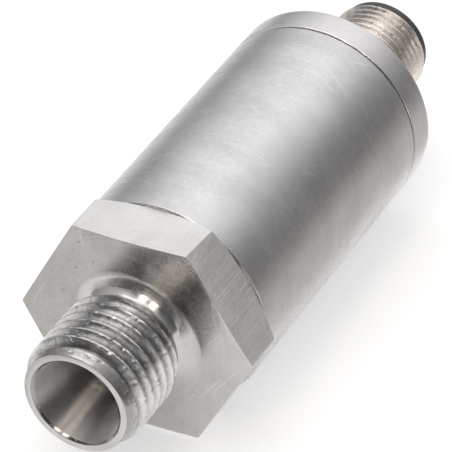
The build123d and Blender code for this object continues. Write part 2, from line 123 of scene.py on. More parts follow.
def join(target: bmesh.types.BMesh, other: bmesh.types.BMesh) -> None:
    """Add one mesh to another and free it.

    Args:
        target: The mesh that grows.
        other: The mesh that is used up.
    """
    carrier = bpy.data.meshes.new("carrier")
    other.to_mesh(carrier)
    other.free()
    target.from_mesh(carrier)
    bpy.data.meshes.remove(carrier)


def turned(
    outline: Sequence[Corner],
    closed: bool = False,
    columns: int = COLUMNS,
    centre: Pair = (0.0, 0.0),
) -> bmesh.types.BMesh:
    """Spin an outline once round an axis along Y.

    Args:
        outline: Corners in order, starting straight above the axis.
        closed: True if the last corner joins the first.
        columns: Number of steps round the turn.
        centre: Sideways and upward place of the axis.

    Returns:
        A new mesh with the turned wall.
    """
    bm = bmesh.new()
    across, up = centre
    verts = [bm.verts.new((across, corner.station, up + corner.radius)) for corner in outline]
    pairs = list(zip(verts, verts[1:]))
    if closed:
        pairs.append((verts[-1], verts[0]))
    for pair in pairs:
        bm.edges.new(pair)
    for rounding in sorted({corner.rounding for corner in outline if corner.rounding}):
        chosen = [vert for vert, corner in zip(verts, outline) if corner.rounding == rounding]
        bmesh.ops.bevel(
            bm, geom=chosen, offset=rounding, segments=ROUNDING_SEGMENTS, profile=0.5,
            affect="VERTICES", material=-1)
    bmesh.ops.spin(
        bm, geom=bm.verts[:] + bm.edges[:], cent=(across, 0, up), axis=(0, 1, 0), dvec=(0, 0, 0),
        angle=FULL_TURN, space=Matrix(), steps=columns, use_merge=True)
    return bm


def along(points: Sequence[Corner], station: float) -> float:
    """Read the radius of an outline at a station.

    Args:
        points: Corners in the order of their stations.
        station: Where to read.

    Returns:
        The radius on the straight line between the two nearest corners.
    """
    for one, two in zip(points, points[1:]):
        if station <= two.station:
            share = max(0.0, (station - one.station) / (two.station - one.station))
            return one.radius + share * (two.radius - one.radius)
    return points[-1].radius


def angle_of(place: Vector) -> float:
    """Give the angle of a point round the axis, from straight up towards +X."""
    return math.atan2(place.x, place.z)


def eased(share: float) -> float:
    """Ease a share from nought to one at both ends."""
    share = min(1.0, max(0.0, share))
    return share * share * (3 - 2 * share)


@dataclass(frozen=True)
class ThreadForm:
    """A right-hand outside thread between two plain rings of the same piece.

    The envelope is the outline of the blank that the thread is cut into. The groove sinks in over
    the first part of a turn, and no part of the thread stands above the envelope.
    """

    pitch: float
    depth: float
    crest_share: float
    root_share: float
    envelope: tuple[Corner, ...]
    first_groove: float
    first_angle: float
    run_in: float
    dent_depth: float
    dent_spacing: float

    FLANK_EASING: ClassVar[float] = 0.15
    DENT_LEVEL: ClassVar[float] = 0.28
    DENT_STEEPNESS: ClassVar[float] = 4.0

    def fractions(self) -> list[float]:
        """Place the rows of one thread.

        Returns:
            Shares of the pitch, from the crest's middle to just before the next crest's.
        """
        crest = self.crest_share / 2
        root = 0.5 - self.root_share / 2
        blend = (root - crest) / 6
        half = [0.0, crest, crest + blend, (crest + root) / 2, root - blend, root]
        return half + [0.5] + [1 - share for share in reversed(half[1:])]

    def sunk(self, fraction: float) -> float:
        """Find how deep the groove is at a place in the pitch.

        Args:
            fraction: Place in the pitch, nought at the crest's middle.

        Returns:
            The share of the full depth.
        """
        crest = self.crest_share / 2
        root = 0.5 - self.root_share / 2
        share = (min(fraction, 1 - fraction) - crest) / (root - crest)
        share = min(1.0, max(0.0, share))
        return (1 - self.FLANK_EASING) * share + self.FLANK_EASING * eased(share)

    def dent(self, place: Vector) -> float:
        """Find how far the crest is knocked in at a point, in millimetres."""
        knock = noise.noise(place / self.dent_spacing) - self.DENT_LEVEL
        return self.dent_depth * eased(knock * self.DENT_STEEPNESS)

    def cut(self) -> bmesh.types.BMesh:
        """Cut the thread.

        Returns:
            A new mesh that reaches from the envelope's first ring to its last.
        """
        start = self.envelope[0].station
        end = self.envelope[-1].station
        blank = max(corner.radius for corner in self.envelope)
        shift = self.first_groove - self.pitch * (0.5 + self.first_angle / FULL_TURN)
        first = math.floor((start - shift) / self.pitch) - 1
        last = math.ceil((end - shift) / self.pitch)
        bm = bmesh.new()
        column = [
            bm.verts.new((0, shift + self.pitch * (turn + fraction), blank))
            for turn in range(first, last + 1)
            for fraction in self.fractions()
        ]
        for pair in zip(column, column[1:]):
            bm.edges.new(pair)
        bmesh.ops.spin(
            bm, geom=bm.verts[:] + bm.edges[:], cent=(0, 0, 0), axis=(0, 1, 0),
            dvec=(0, self.pitch / COLUMNS, 0), angle=FULL_TURN, space=Matrix(), steps=COLUMNS,
            use_merge=False)
        for vert in bm.verts:
            self.place(vert, start, end, blank)
        bmesh.ops.remove_doubles(bm, verts=bm.verts[:], dist=MERGE_DISTANCE)
        return bm

    def place(self, vert: bmesh.types.BMVert, start: float, end: float, blank: float) -> None:
        """Set one point of the thread in or out from the blank.

        Args:
            vert: The point, on the blank's cylinder.
            start: Station of the first ring.
            end: Station of the last ring.
            blank: Radius of the blank's cylinder.
        """
        angle = angle_of(vert.co)
        station = vert.co.y
        turns = (station - self.first_groove) / self.pitch
        fraction = (turns - (angle - self.first_angle) / FULL_TURN + 0.5) % 1.0
        reached = eased((turns - fraction + 0.5) / self.run_in)
        station = min(end, max(start, station))
        radius = along(self.envelope, station)
        if start < station < end:
            groove = blank - self.depth * self.sunk(fraction) * reached
            radius = min(radius, groove)
            radius -= self.dent(vert.co) * (1 - self.sunk(fraction))
        vert.co = Vector((radius * math.sin(angle), station, radius * math.cos(angle)))


class Nodes:
    """A node tree with short calls for the nodes that the finishes and the sky share."""

    def __init__(self, tree: bpy.types.NodeTree) -> None:
        """Take a tree and empty it."""
        self.tree = tree
        self.tree.nodes.clear()

    def feed(self, socket: Link, value: object) -> None:
        """Put a link or a constant on an input.

        Args:
            socket: The input.
            value: An output to link, or a number, colour or vector.
        """
        if isinstance(value, bpy.types.NodeSocket):
            self.tree.links.new(value, socket)
        else:
            socket.default_value = value

    def node(self, kind: str, *values: object, **settings: object) -> bpy.types.Node:
        """Add a node.

        Args:
            kind: The node's type.
            *values: Its first inputs in order.
            **settings: Its own properties.

        Returns:
            The new node.
        """
        made = self.tree.nodes.new(kind)
        for key, value in settings.items():
            setattr(made, key, value)
        for socket, value in zip(made.inputs, values):
            self.feed(socket, value)
        return made

    def fill(self, node: bpy.types.Node, **inputs: object) -> bpy.types.Node:
        """Feed some of a node's inputs by name.

        Args:
            node: The node.
            **inputs: What goes on each input, with underscores for spaces in its name.

        Returns:
            The same node.
        """
        for name, value in inputs.items():
            self.feed(node.inputs[name.replace("_", " ")], value)
        return node

    def math(self, operation: str, *values: object) -> Link:
        """Work out a number from numbers."""
        return self.node("ShaderNodeMath", *values, operation=operation).outputs[0]

    def total(self, *values: object) -> Link:
        """Add numbers up in order."""
        return reduce(lambda one, two: self.math("ADD", one, two), values)

    def times(self, value: Link, factor: object) -> Link:
        """Multiply a number by another."""
        return self.math("MULTIPLY", value, factor)

    def vector(self, operation: str, *values: object) -> Link:
        """Work out a vector from vectors."""
        return self.node("ShaderNodeVectorMath", *values, operation=operation).outputs[0]

    def remap(self, value: Link, low: float, high: float, to_low: float, to_high: float) -> Link:
        """Map a value smoothly from the range low to high onto the range to_low to to_high."""
        numbers = value, low, high, to_low, to_high
        return self.node("ShaderNodeMapRange", *numbers, interpolation_type="SMOOTHSTEP").outputs["Result"]

    def mix(self, share: object, one: object, two: object) -> Link:
        """Mix two colours.

        Args:
            share: How much of the second.
            one: First colour.
            two: Second colour.

        Returns:
            The mixed colour.
        """
        made = self.node("ShaderNodeMix", share, data_type="RGBA")
        self.feed(made.inputs[6], one)
        self.feed(made.inputs[7], two)
        return made.outputs[2]

    def noise(self, place: Link, scale: float, detail: float = 3.0, rough: float = 0.55) -> Link:
        """Read a noise texture at a place, with some octaves and some strength of the finer ones."""
        made = self.node("ShaderNodeTexNoise")
        return self.fill(made, Vector=place, Scale=scale, Detail=detail, Roughness=rough).outputs["Fac"]

    def spread(self, place: Link) -> tuple[Link, Link, Link]:
        """Split a vector into its three parts."""
        return tuple(self.node("ShaderNodeSeparateXYZ", place).outputs)

    def gather(self, *parts: object) -> Link:
        """Join three parts into a vector."""
        return self.node("ShaderNodeCombineXYZ", *parts).outputs[0]

    def ramp(self, share: Link, stops: Sequence[Triple], blend: str) -> Link:
        """Add a grey colour ramp over the angle round the sensor's axis.

        Args:
            share: Place on the ramp, nought to one over a full turn.
            stops: Angle in degrees from straight up towards +X, tone and warmth of each stop.
            blend: How the ramp goes between stops.

        Returns:
            Its colour, as a share of the sky's strength.
        """
        made = self.node("ShaderNodeValToRGB", share)
        made.color_ramp.interpolation = blend
        elements = made.color_ramp.elements
        elements.remove(elements[-1])
        for index, (degrees, tone, warmth) in enumerate(stops):
            position = (degrees + 180) / 360
            element = elements.new(position) if index else elements[0]
            element.position = position
            element.color = grey(tone / SKY_STRENGTH, warmth)
        return made.outputs[0]


class Shader(Nodes):
    """A node material."""

    def __init__(self, name: str, axis_height: float) -> None:
        """Start an empty material.

        Args:
            name: Name of the material.
            axis_height: Height of the sensor's axis in metres.
        """
        self.material = bpy.data.materials.new(name)
        self.material.use_nodes = True
        self.axis_height = axis_height
        super().__init__(self.material.node_tree)

    def mapping(self, place: Link, **inputs: object) -> Link:
        """Move, turn or scale a place by the named inputs."""
        return self.fill(self.node("ShaderNodeMapping", place), **inputs).outputs[0]

    def place(self) -> Link:
        """Read the Object coordinates and bring them to the sensor's own units.

        Returns:
            The point in millimetres about the axis.
        """
        local = self.node("ShaderNodeTexCoord").outputs["Object"]
        lift = -self.axis_height / MILLIMETRE
        return self.mapping(local, Scale=(1 / MILLIMETRE,) * 3, Location=(0.0, 0.0, lift))

    def surface(self, **inputs: object) -> bpy.types.Material:
        """Finish the material with one shader.

        Args:
            **inputs: Inputs of the shader by name, with underscores for spaces.

        Returns:
            The material.
        """
        shader = self.fill(self.node("ShaderNodeBsdfPrincipled"), **inputs)
        self.node("ShaderNodeOutputMaterial", shader.outputs[0])
        return self.material

    def bump(self, height: Link, depth: float) -> Link:
        """Bend the normal by a height pattern of some depth in micrometres."""
        made = self.node("ShaderNodeBump")
        return self.fill(made, Strength=1.0, Distance=depth * MICROMETRE, Height=height).outputs[0]


class Lay(Enum):
    """Which way the tool or the brush went over a metal surface."""

    ROUND = "round the axis"
    ALONG = "along the axis"


@dataclass(frozen=True)
class Finish:
    """What every finish has, with the record's material slot that it dresses."""

    name: str
    slot: str
    light: Colour
    dark: Colour
    roughness: float

    ROUGHNESS_SPREAD: ClassVar[Pair] = (0.85, 1.15)

    def roughness_range(self) -> Pair:
        """Give the lowest and the highest roughness of the surface."""
        return tuple(self.roughness * share for share in self.ROUGHNESS_SPREAD)

    def make(self, axis_height: float) -> bpy.types.Material:
        """Build the material for a sensor whose axis has some height in metres."""
        raise NotImplementedError


@dataclass(frozen=True)
class MachinedMetal(Finish):
    """Bare or plated metal with tool marks, patches, fine scratches, pits and painted shade in thread
    roots.

    The density of the tool marks is per millimetre, their depth is in micrometres, and each tone
    says how far that feature moves the metal between its dark and its light colour.
    """

    lay: Lay
    anisotropy: float
    line_density: float
    line_depth: float
    line_reach: float
    line_tone: float
    patch_tone: float
    scratch_tone: float
    pit_tone: float
    shade_free_radius: float = 0.0
    full_shade_radius: float = 0.0
    root_shade_share: float = 0.0

    PATCH_SCALE: ClassVar[float] = 0.16
    GRAIN_SCALE: ClassVar[float] = 1.9
    GRAIN_TONE: ClassVar[float] = 0.07
    PIT_SCALE: ClassVar[float] = 1.25
    PIT_RANGE: ClassVar[Pair] = (0.735, 0.77)
    PIT_HEIGHT: ClassVar[float] = -4.0
    COARSE_STRETCH: ClassVar[Triple] = (0.9, 0.22, 0.9)
    COARSE_HEIGHT: ClassVar[float] = 0.6
    LINE_RANGE: ClassVar[Pair] = (0.25, 0.75)
    SCRATCH_SETS: ClassVar[tuple[Pair, ...]] = ((0.6, 3.0), (-0.9, 17.0))
    SCRATCH_LEAN: ClassVar[float] = 0.35
    SCRATCH_STRETCH: ClassVar[Triple] = (0.16, 2.6, 0.16)
    SCRATCH_RANGE: ClassVar[Pair] = (0.712, 0.738)
    SCRATCH_HEIGHT: ClassVar[float] = -0.8
    ROUGHNESS_SPREAD: ClassVar[Pair] = (0.82, 1.2)
    QUARTER_TURN: ClassVar[float] = 0.25
    # Colour of the painted shade that darkens the thread roots, standing in for shade that falls there.
    ROOT_SHADE_COLOUR: ClassVar[Colour] = grey(0.12, 0.06)
    ROOT_SHADE_EDGE: ClassVar[float] = 0.12

    def make(self, axis_height: float) -> bpy.types.Material:
        """Build the material.

        Args:
            axis_height: Height of the sensor's axis in metres.

        Returns:
            The material.
        """
        shader = Shader(self.name, axis_height)
        place = shader.place()
        x, y, z = shader.spread(place)
        flat = shader.gather(x, 0.0, z)
        radius = shader.node("ShaderNodeVectorMath", flat, operation="LENGTH").outputs["Value"]
        outward = shader.vector("NORMALIZE", flat)
        marks_place = self.marks_place(shader, place, outward, shader.total(y, radius))
        lines = shader.noise(marks_place, 1.0, 4.0, 0.7)
        coarse = shader.noise(shader.vector("MULTIPLY", marks_place, self.COARSE_STRETCH), 1.0, 2.0)
        patches = shader.noise(place, self.PATCH_SCALE, 3.0)
        grain = shader.noise(place, self.GRAIN_SCALE, 4.0, 0.65)
        scratches = self.scratches(shader, place)
        pits = shader.remap(shader.noise(place, self.PIT_SCALE, 1.0), *self.PIT_RANGE, 0.0, 1.0)
        tone = shader.total(
            shader.remap(patches, *NOISE_RANGE, 0.5 - self.patch_tone, 0.5 + self.patch_tone),
            shader.remap(grain, *NOISE_RANGE, -self.GRAIN_TONE, self.GRAIN_TONE),
            shader.remap(lines, *self.LINE_RANGE, -self.line_tone, self.line_tone),
            shader.times(scratches, self.scratch_tone),
            shader.times(pits, -self.pit_tone))
        colour = shader.mix(tone, self.dark, self.light)
        # Painted shade: the colour darkens with falling radius towards the thread roots, where shade falls.
        if self.root_shade_share:
            edge = shader.total(radius, shader.remap(grain, *NOISE_RANGE, -self.ROOT_SHADE_EDGE, self.ROOT_SHADE_EDGE))
            root_shade = shader.remap(edge, self.full_shade_radius, self.shade_free_radius, self.root_shade_share, 0.0)
            colour = shader.mix(root_shade, colour, self.ROOT_SHADE_COLOUR)
        rough = shader.total(
            shader.remap(coarse, *NOISE_RANGE, *self.roughness_range()),
            shader.remap(grain, 0.35, 0.7, -0.03, 0.05))
        height = shader.total(
            lines, shader.times(coarse, self.COARSE_HEIGHT),
            shader.times(scratches, self.SCRATCH_HEIGHT), shader.times(pits, self.PIT_HEIGHT))
        return shader.surface(
            Base_Color=colour, Metallic=1.0, Roughness=rough, Anisotropic=self.anisotropy,
            Anisotropic_Rotation=self.QUARTER_TURN, Tangent=self.tangent(shader, outward),
            Normal=shader.bump(height, self.line_depth))

    def marks_place(self, shader: Shader, place: Link, outward: Link, profile: Link) -> Link:
        """Stretch the place so that a noise over it runs along the tool marks.

        Args:
            shader: The material's nodes.
            place: Point in millimetres about the axis.
            outward: Unit vector away from the axis.
            profile: Distance gone along a turned outline.

        Returns:
            The stretched place.
        """
        if self.lay is Lay.ALONG:
            reach = (self.line_density, 1 / self.line_reach, self.line_density)
            return shader.vector("MULTIPLY", place, reach)
        turn = shader.vector("MULTIPLY", outward, (self.line_reach,) * 3)
        return shader.vector("ADD", turn, shader.gather(0.0, shader.times(profile, self.line_density), 0.0))

    def tangent(self, shader: Shader, outward: Link) -> Link:
        """Give the direction of the tool marks.

        Args:
            shader: The material's nodes.
            outward: Unit vector away from the axis.

        Returns:
            The direction in the scene.
        """
        axis = (0.0, 1.0, 0.0)
        direction = shader.vector("CROSS_PRODUCT", axis, outward) if self.lay is Lay.ROUND else axis
        return shader.node(
            "ShaderNodeVectorTransform", direction, vector_type="VECTOR", convert_from="OBJECT",
            convert_to="WORLD").outputs[0]

    def scratches(self, shader: Shader, place: Link) -> Link:
        """Draw fine hair scratches in two crossing directions.

        Args:
            shader: The material's nodes.
            place: Point in millimetres about the axis.

        Returns:
            One on a scratch and nought beside it.
        """
        found = []
        for turn, shift in self.SCRATCH_SETS:
            way = (self.SCRATCH_LEAN, turn, turn)
            turned_place = shader.mapping(place, Rotation=way, Location=(shift,) * 3)
            stretched = shader.vector("MULTIPLY", turned_place, self.SCRATCH_STRETCH)
            found.append(shader.remap(shader.noise(stretched, 1.0, 1.0), *self.SCRATCH_RANGE, 0.0, 1.0))
        return shader.math("MAXIMUM", *found)


@dataclass(frozen=True)
class Moulded(Finish):
    """Plastic, rubber, laminate or ceramic with a fine grain per millimetre, micrometres deep."""

    grain: float
    depth: float
    metallic: float = 0.0

    CLOUD_SIZE: ClassVar[float] = 9.0
    GRAIN_SHARE: ClassVar[float] = 0.6
    TONE_RANGE: ClassVar[Pair] = (0.35, 0.65)

    def make(self, axis_height: float) -> bpy.types.Material:
        """Build the material.

        Args:
            axis_height: Height of the sensor's axis in metres.

        Returns:
            The material.
        """
        shader = Shader(self.name, axis_height)
        place = shader.place()
        grain = shader.noise(place, self.grain, 4.0, 0.6)
        cloudy = shader.noise(place, self.grain / self.CLOUD_SIZE, 2.0)
        tone = shader.total(
            shader.times(grain, self.GRAIN_SHARE), shader.times(cloudy, 1 - self.GRAIN_SHARE))
        return shader.surface(
            Base_Color=shader.mix(shader.remap(tone, *self.TONE_RANGE, 0.0, 1.0), self.dark, self.light),
            Metallic=self.metallic, Normal=shader.bump(grain, self.depth),
            Roughness=shader.remap(cloudy, *NOISE_RANGE, *self.roughness_range()))


class Finishes:
    """Every finish of the sensor, made once and found by its name or its slot."""

    recipes: ClassVar[tuple[Finish, ...]] = (
        MachinedMetal(
            "turned_steel", "connection_steel", grey(0.63, 0.02), grey(0.44, 0.03), 0.21, Lay.ROUND,
            anisotropy=0.65, line_density=6.0, line_depth=5.0, line_reach=1.0, line_tone=0.12,
            patch_tone=0.25, scratch_tone=0.3, pit_tone=0.6),
        MachinedMetal(
            "reamed_steel", "connection_steel", grey(0.66, 0.03), grey(0.42, 0.04), 0.47, Lay.ROUND,
            anisotropy=1.0, line_density=7.0, line_depth=10.0, line_reach=0.5, line_tone=0.1,
            patch_tone=0.06, scratch_tone=0.0, pit_tone=0.0),
        MachinedMetal(
            "threaded_steel", "connection_steel", grey(0.78, 0.01), grey(0.48, 0.015), 0.18, Lay.ROUND,
            anisotropy=0.2, line_density=7.0, line_depth=12.0, line_reach=9.0, line_tone=0.2,
            # The last three values paint shade into the thread roots.
            patch_tone=0.3, scratch_tone=0.3, pit_tone=0.5, shade_free_radius=6.8, full_shade_radius=6.1,
            root_shade_share=0.6),
        MachinedMetal(
            "drawn_steel", "connection_steel", grey(0.84, 0.012), grey(0.62, 0.02), 0.55, Lay.ALONG,
            anisotropy=0.2, line_density=14.0, line_depth=3.0, line_reach=6.0, line_tone=0.16,
            patch_tone=0.2, scratch_tone=-0.25, pit_tone=0.9),
        MachinedMetal(
            "brushed_steel", "housing_steel", (0.73, 0.715, 0.722, 1.0), (0.565, 0.553, 0.558, 1.0),
            0.25, Lay.ROUND, anisotropy=0.7, line_density=14.0, line_depth=0.28, line_reach=0.7,
            line_tone=0.08, patch_tone=0.3, scratch_tone=0.5, pit_tone=0.3),
        MachinedMetal(
            "smooth_cap_steel", "cap_steel", (0.777, 0.755, 0.765, 1.0), (0.62, 0.6, 0.608, 1.0), 0.24,
            Lay.ROUND, anisotropy=0.6, line_density=9.0, line_depth=0.8, line_reach=0.7, line_tone=0.06,
            patch_tone=0.35, scratch_tone=0.2, pit_tone=0.3),
        MachinedMetal(
            "satin_nickel", "nickel_plate", (0.86, 0.81, 0.77, 1.0), (0.62, 0.575, 0.54, 1.0), 0.24,
            Lay.ROUND, anisotropy=0.3, line_density=5.0, line_depth=3.0, line_reach=2.0, line_tone=0.12,
            # The last three values paint shade into the thread roots.
            patch_tone=0.3, scratch_tone=0.25, pit_tone=0.3, shade_free_radius=5.85, full_shade_radius=5.5,
            root_shade_share=0.25),
        MachinedMetal(
            "gold_plate", "gold_contact", (0.87, 0.66, 0.28, 1.0), (0.74, 0.53, 0.2, 1.0), 0.22,
            Lay.ROUND, anisotropy=0.2, line_density=6.0, line_depth=2.0, line_reach=2.0, line_tone=0.12,
            patch_tone=0.3, scratch_tone=0.2, pit_tone=0.2),
        Moulded("black_plastic", "black_plastic", grey(0.05), grey(0.028), 0.42, 9.0, 6.0),
        Moulded("seal_rubber", "seal_rubber", grey(0.04), grey(0.02), 0.6, 6.0, 8.0),
        Moulded("ground_cell_steel", "cell_steel", grey(0.7), grey(0.56), 0.3, 7.0, 3.0, 1.0),
        Moulded(
            "polished_silicon", "gauge_silicon", (0.3, 0.31, 0.37, 1.0), (0.2, 0.2, 0.25, 1.0), 0.15,
            5.0, 1.0, 0.6),
        Moulded("glass_filled_plastic", "carrier_plastic", grey(0.16), grey(0.09), 0.5, 8.0, 10.0),
        Moulded(
            "green_laminate", "board_laminate", (0.06, 0.36, 0.15, 1.0), (0.03, 0.22, 0.09, 1.0), 0.35,
            6.0, 5.0),
        Moulded("chip_package", "chip_black", grey(0.06), grey(0.035), 0.45, 14.0, 4.0),
        Moulded(
            "sintered_ceramic", "capacitor_ceramic", (0.6, 0.46, 0.31, 1.0), (0.48, 0.36, 0.23, 1.0),
            0.5, 9.0, 4.0),
        Moulded(
            "brown_insulation", "wire_brown", (0.25, 0.11, 0.05, 1.0), (0.17, 0.07, 0.03, 1.0), 0.4,
            5.0, 4.0),
        Moulded("white_insulation", "wire_white", grey(0.86), grey(0.74), 0.4, 5.0, 4.0),
        Moulded(
            "blue_insulation", "wire_blue", (0.06, 0.17, 0.58, 1.0), (0.03, 0.1, 0.4, 1.0), 0.4, 5.0,
            4.0),
        Moulded("black_insulation", "wire_black", grey(0.05), grey(0.025), 0.4, 5.0, 4.0),
    )

    def __init__(self, axis_height: float) -> None:
        """Make the materials.

        Args:
            axis_height: Height of the sensor's axis in metres.
        """
        self.named: dict[str, bpy.types.Material] = {}
        self.slots: dict[str, bpy.types.Material] = {}
        for recipe in self.recipes:
            material = recipe.make(axis_height)
            self.named[recipe.name] = material
            self.slots.setdefault(recipe.slot, material)


@dataclass
class Assembly:
    """A sub-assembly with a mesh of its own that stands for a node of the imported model."""

    seat: Seat
    finishes: Finishes

    name: ClassVar[str]
    node: ClassVar[str]
    slot: ClassVar[str]
    coats: ClassVar[tuple[str, ...]]

    def form(self) -> bmesh.types.BMesh:
        """Model the piece in millimetres about the axis."""
        raise NotImplementedError

    def coat_of(self, middle: Vector, normal: Vector) -> str:
        """Pick the coat of a face from its middle and normal: the first, where there is no other."""
        return self.coats[0]

    def build(self) -> bpy.types.Object:
        """Model the piece, settle it in the frame and dress it.

        Returns:
            The finished object.
        """
        bm = self.form()
        bmesh.ops.remove_doubles(bm, verts=bm.verts[:], dist=MERGE_DISTANCE)
        bmesh.ops.recalc_face_normals(bm, faces=bm.faces[:])
        open_edges = sum(1 for edge in bm.edges if len(edge.link_faces) != 2)
        for face in bm.faces:
            face.smooth = True
            face.material_index = self.coats.index(self.coat_of(face.calc_center_median(), face.normal))
        self.seat.settle(bm)
        mesh = bpy.data.meshes.new(self.name)
        bm.to_mesh(mesh)
        bm.free()
        for coat in self.coats:
            mesh.materials.append(self.finishes.named[coat])
        mesh.set_sharp_from_angle(angle=math.radians(SHARP_ANGLE))
        piece = bpy.data.objects.new(self.name, mesh)
        bpy.context.scene.collection.objects.link(piece)
        weighting = piece.modifiers.new("even_shading", "WEIGHTED_NORMAL")
        weighting.keep_sharp = True
        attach(piece, "root")
        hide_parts(self.node)
        log.info("%s: %d faces, %d open edges", self.name, len(mesh.polygons), open_edges)
        return piece


class ConnectionCoat(Enum):
    """The finishes of the process connection."""

    TURNED = "turned_steel"
    DRAWN = "drawn_steel"
    THREADED = "threaded_steel"
    REAMED = "reamed_steel"


@dataclass
class ProcessConnection(Assembly):
    """Threaded cone stud, hexagon and spigot, turned and milled from one bar."""

    name = "connection_body"
    node = "process_connection"
    slot = "connection_steel"
    coats = tuple(coat.value for coat in ConnectionCoat)
    nose_face_radius: float = 6.075
    nose_taper: float = 10.0
    thread_start: float = 0.45
    thread_bevel_start: float = 1.5
    thread_radius: float = 6.93
    thread_pitch: float = 1.5
    thread_depth: float = 0.9
    thread_flank: float = 30.0
    groove_share: float = 0.47
    groove_angle: float = -95.0
    relief_radius: float = 5.85
    relief_start: float = 1.4
    relief_end: float = 2.95
    relief_land: float = 0.1
    collar_radius: float = 6.5
    collar_height: float = 0.7
    collar_foot_radius: float = 7.55
    mouth_radius: float = 5.05
    mouth_bevel: float = 0.28
    bore_radius: float = 4.1
    bore_depth: float = 10.0
    cone_half_angle: float = 12.0
    channel_radius: float = 3.0
    half_flats: float = 12.0
    face_radius: float = 11.55
    front_bevel: float = 7.5
    rear_bevel: float = 30.0
    corner_rounding: float = 0.13
    wear_on_top: float = 0.35
    wear_on_side: float = 1.8
    wear_length: float = 5.4
    cell_seat_radius: float = 6.33
    cell_seat_depth: float = 0.8
    ring_groove_width: float = 1.9
    ring_groove_depth: float = 1.07
    edge: float = 0.12
    foot_rounding: float = 0.5
    relief_rounding: float = 0.25
    bore_rounding: float = 0.2
    collar_rounding: float = 0.1
    nose_rounding: float = 0.09
    mouth_rounding: float = 0.05
    softened_angle: float = 25.0
    softened_length: float = 2.0
    flats_margin: float = 0.4
    flats_tilt: float = 0.45
    bore_margin: float = 0.02
    nose_margin: float = 0.1
    nose_tilt: float = 0.95

    def stud_front(self) -> float:
        """Station of the stud's front face."""
        return self.seat.station("process_connection", False)

    def nose_radius(self, depth: float) -> float:
        """Radius of the tapered nose at a depth behind the stud's front face."""
        return self.nose_face_radius + depth * math.tan(math.radians(self.nose_taper))

    def thread(self) -> ThreadForm:
        """Describe the stud's thread.

        Returns:
            The thread with the blank that it is cut into.
        """
        front = self.stud_front()
        bevel_radius = self.nose_radius(self.thread_bevel_start)
        bevel = self.thread_radius - bevel_radius
        flank = (self.thread_radius - self.relief_radius) * math.tan(math.radians(self.thread_flank))
        blank = (
            Corner(self.nose_radius(self.thread_start), front + self.thread_start),
            Corner(bevel_radius, front + self.thread_bevel_start),
            Corner(self.thread_radius, front + self.thread_bevel_start + bevel),
            Corner(self.thread_radius, -self.relief_end),
            Corner(self.relief_radius, -self.relief_end + flank),
            Corner(self.relief_radius, -self.relief_end + flank + self.relief_land),
        )
        return ThreadForm(
            pitch=self.thread_pitch, depth=self.thread_depth, crest_share=0.17, root_share=0.1,
            envelope=blank, run_in=0.15, dent_depth=0.07, dent_spacing=0.5,
            first_groove=front + self.thread_start + self.groove_share * self.thread_pitch,
            first_angle=math.radians(self.groove_angle))

    def inside_and_rear(self, blank: Sequence[Corner]) -> list[Corner]:
        """Draw the rear face, the spigot, the channel, the bore with its cone, and the stud's face.

        Args:
            blank: The thread's blank.

        Returns:
            The outline from the hexagon's rear face to the thread's start.
        """
        front = self.stud_front()
        end = self.seat.station("process_connection", True)
        spigot = self.seat.spigot()
        floor = spigot - self.ring_groove_depth
        groove = (HEX_LENGTH + end) / 2
        half = self.ring_groove_width / 2
        cone_end = front + self.mouth_bevel + (
            (self.mouth_radius - self.bore_radius) / math.tan(math.radians(self.cone_half_angle)))
        seat_end = front + self.bore_depth
        cell_seat = end - self.cell_seat_depth
        return [
            Corner(self.half_flats, HEX_LENGTH),
            Corner(spigot, HEX_LENGTH),
            Corner(spigot, groove - half, self.edge),
            Corner(floor, groove - half),
            Corner(floor, groove + half),
            Corner(spigot, groove + half, self.edge),
            Corner(spigot, end, self.edge),
            Corner(self.cell_seat_radius, end, self.edge),
            Corner(self.cell_seat_radius, cell_seat),
            Corner(self.channel_radius, cell_seat, self.edge),
            Corner(self.channel_radius, seat_end, self.edge),
            Corner(self.bore_radius, seat_end),
            Corner(self.bore_radius, cone_end, self.bore_rounding),
            Corner(self.mouth_radius, front + self.mouth_bevel, self.mouth_rounding),
            Corner(self.mouth_radius + self.mouth_bevel, front, self.mouth_rounding),
            Corner(self.nose_face_radius, front, self.nose_rounding),
            blank[0],
        ]

    def collar(self, blank: Sequence[Corner]) -> list[Corner]:
        """Draw the relief behind the thread and the collar.

        Args:
            blank: The thread's blank.

        Returns:
            The outline from the thread's end to the hexagon's front cone.
        """
        return [
            blank[-1],
            Corner(self.relief_radius, -self.relief_start, self.relief_rounding),
            Corner(self.collar_radius, -self.collar_height, self.collar_rounding),
            Corner(self.collar_foot_radius, 0.0, self.foot_rounding),
            Corner(self.face_radius, 0.0),
        ]

    def hexagon(self) -> bmesh.types.BMesh:
        """Make the six flats with the front cone, the rear bevels and the worn corner.

        Returns:
            A new mesh between the front face's ring and the rear face's ring.
        """
        rows = (0.0, 1.0, 2.0, HEX_LENGTH)
        bm = turned([
            Corner(self.face_radius, rows[0]),
            Corner(self.half_flats, rows[1]),
            Corner(self.half_flats, rows[2]),
            Corner(self.half_flats, rows[3]),
        ])
        front = math.tan(math.radians(self.front_bevel))
        rear = math.tan(math.radians(self.rear_bevel))
        for vert in bm.verts:
            if vert.co.y not in rows[1:3]:
                continue
            angle = angle_of(vert.co)
            from_flat = (angle + SIXTH_TURN / 2) % SIXTH_TURN - SIXTH_TURN / 2
            radius = self.half_flats / math.cos(from_flat)
            station = (radius - self.face_radius) * front
            if vert.co.y == rows[2]:
                station = HEX_LENGTH - (radius - self.half_flats) * rear
            vert.co = Vector((radius * math.sin(angle), station, radius * math.cos(angle)))
        bmesh.ops.remove_doubles(bm, verts=bm.verts[:], dist=MERGE_DISTANCE)
        self.wear(bm)
        self.soften(bm)
        return bm

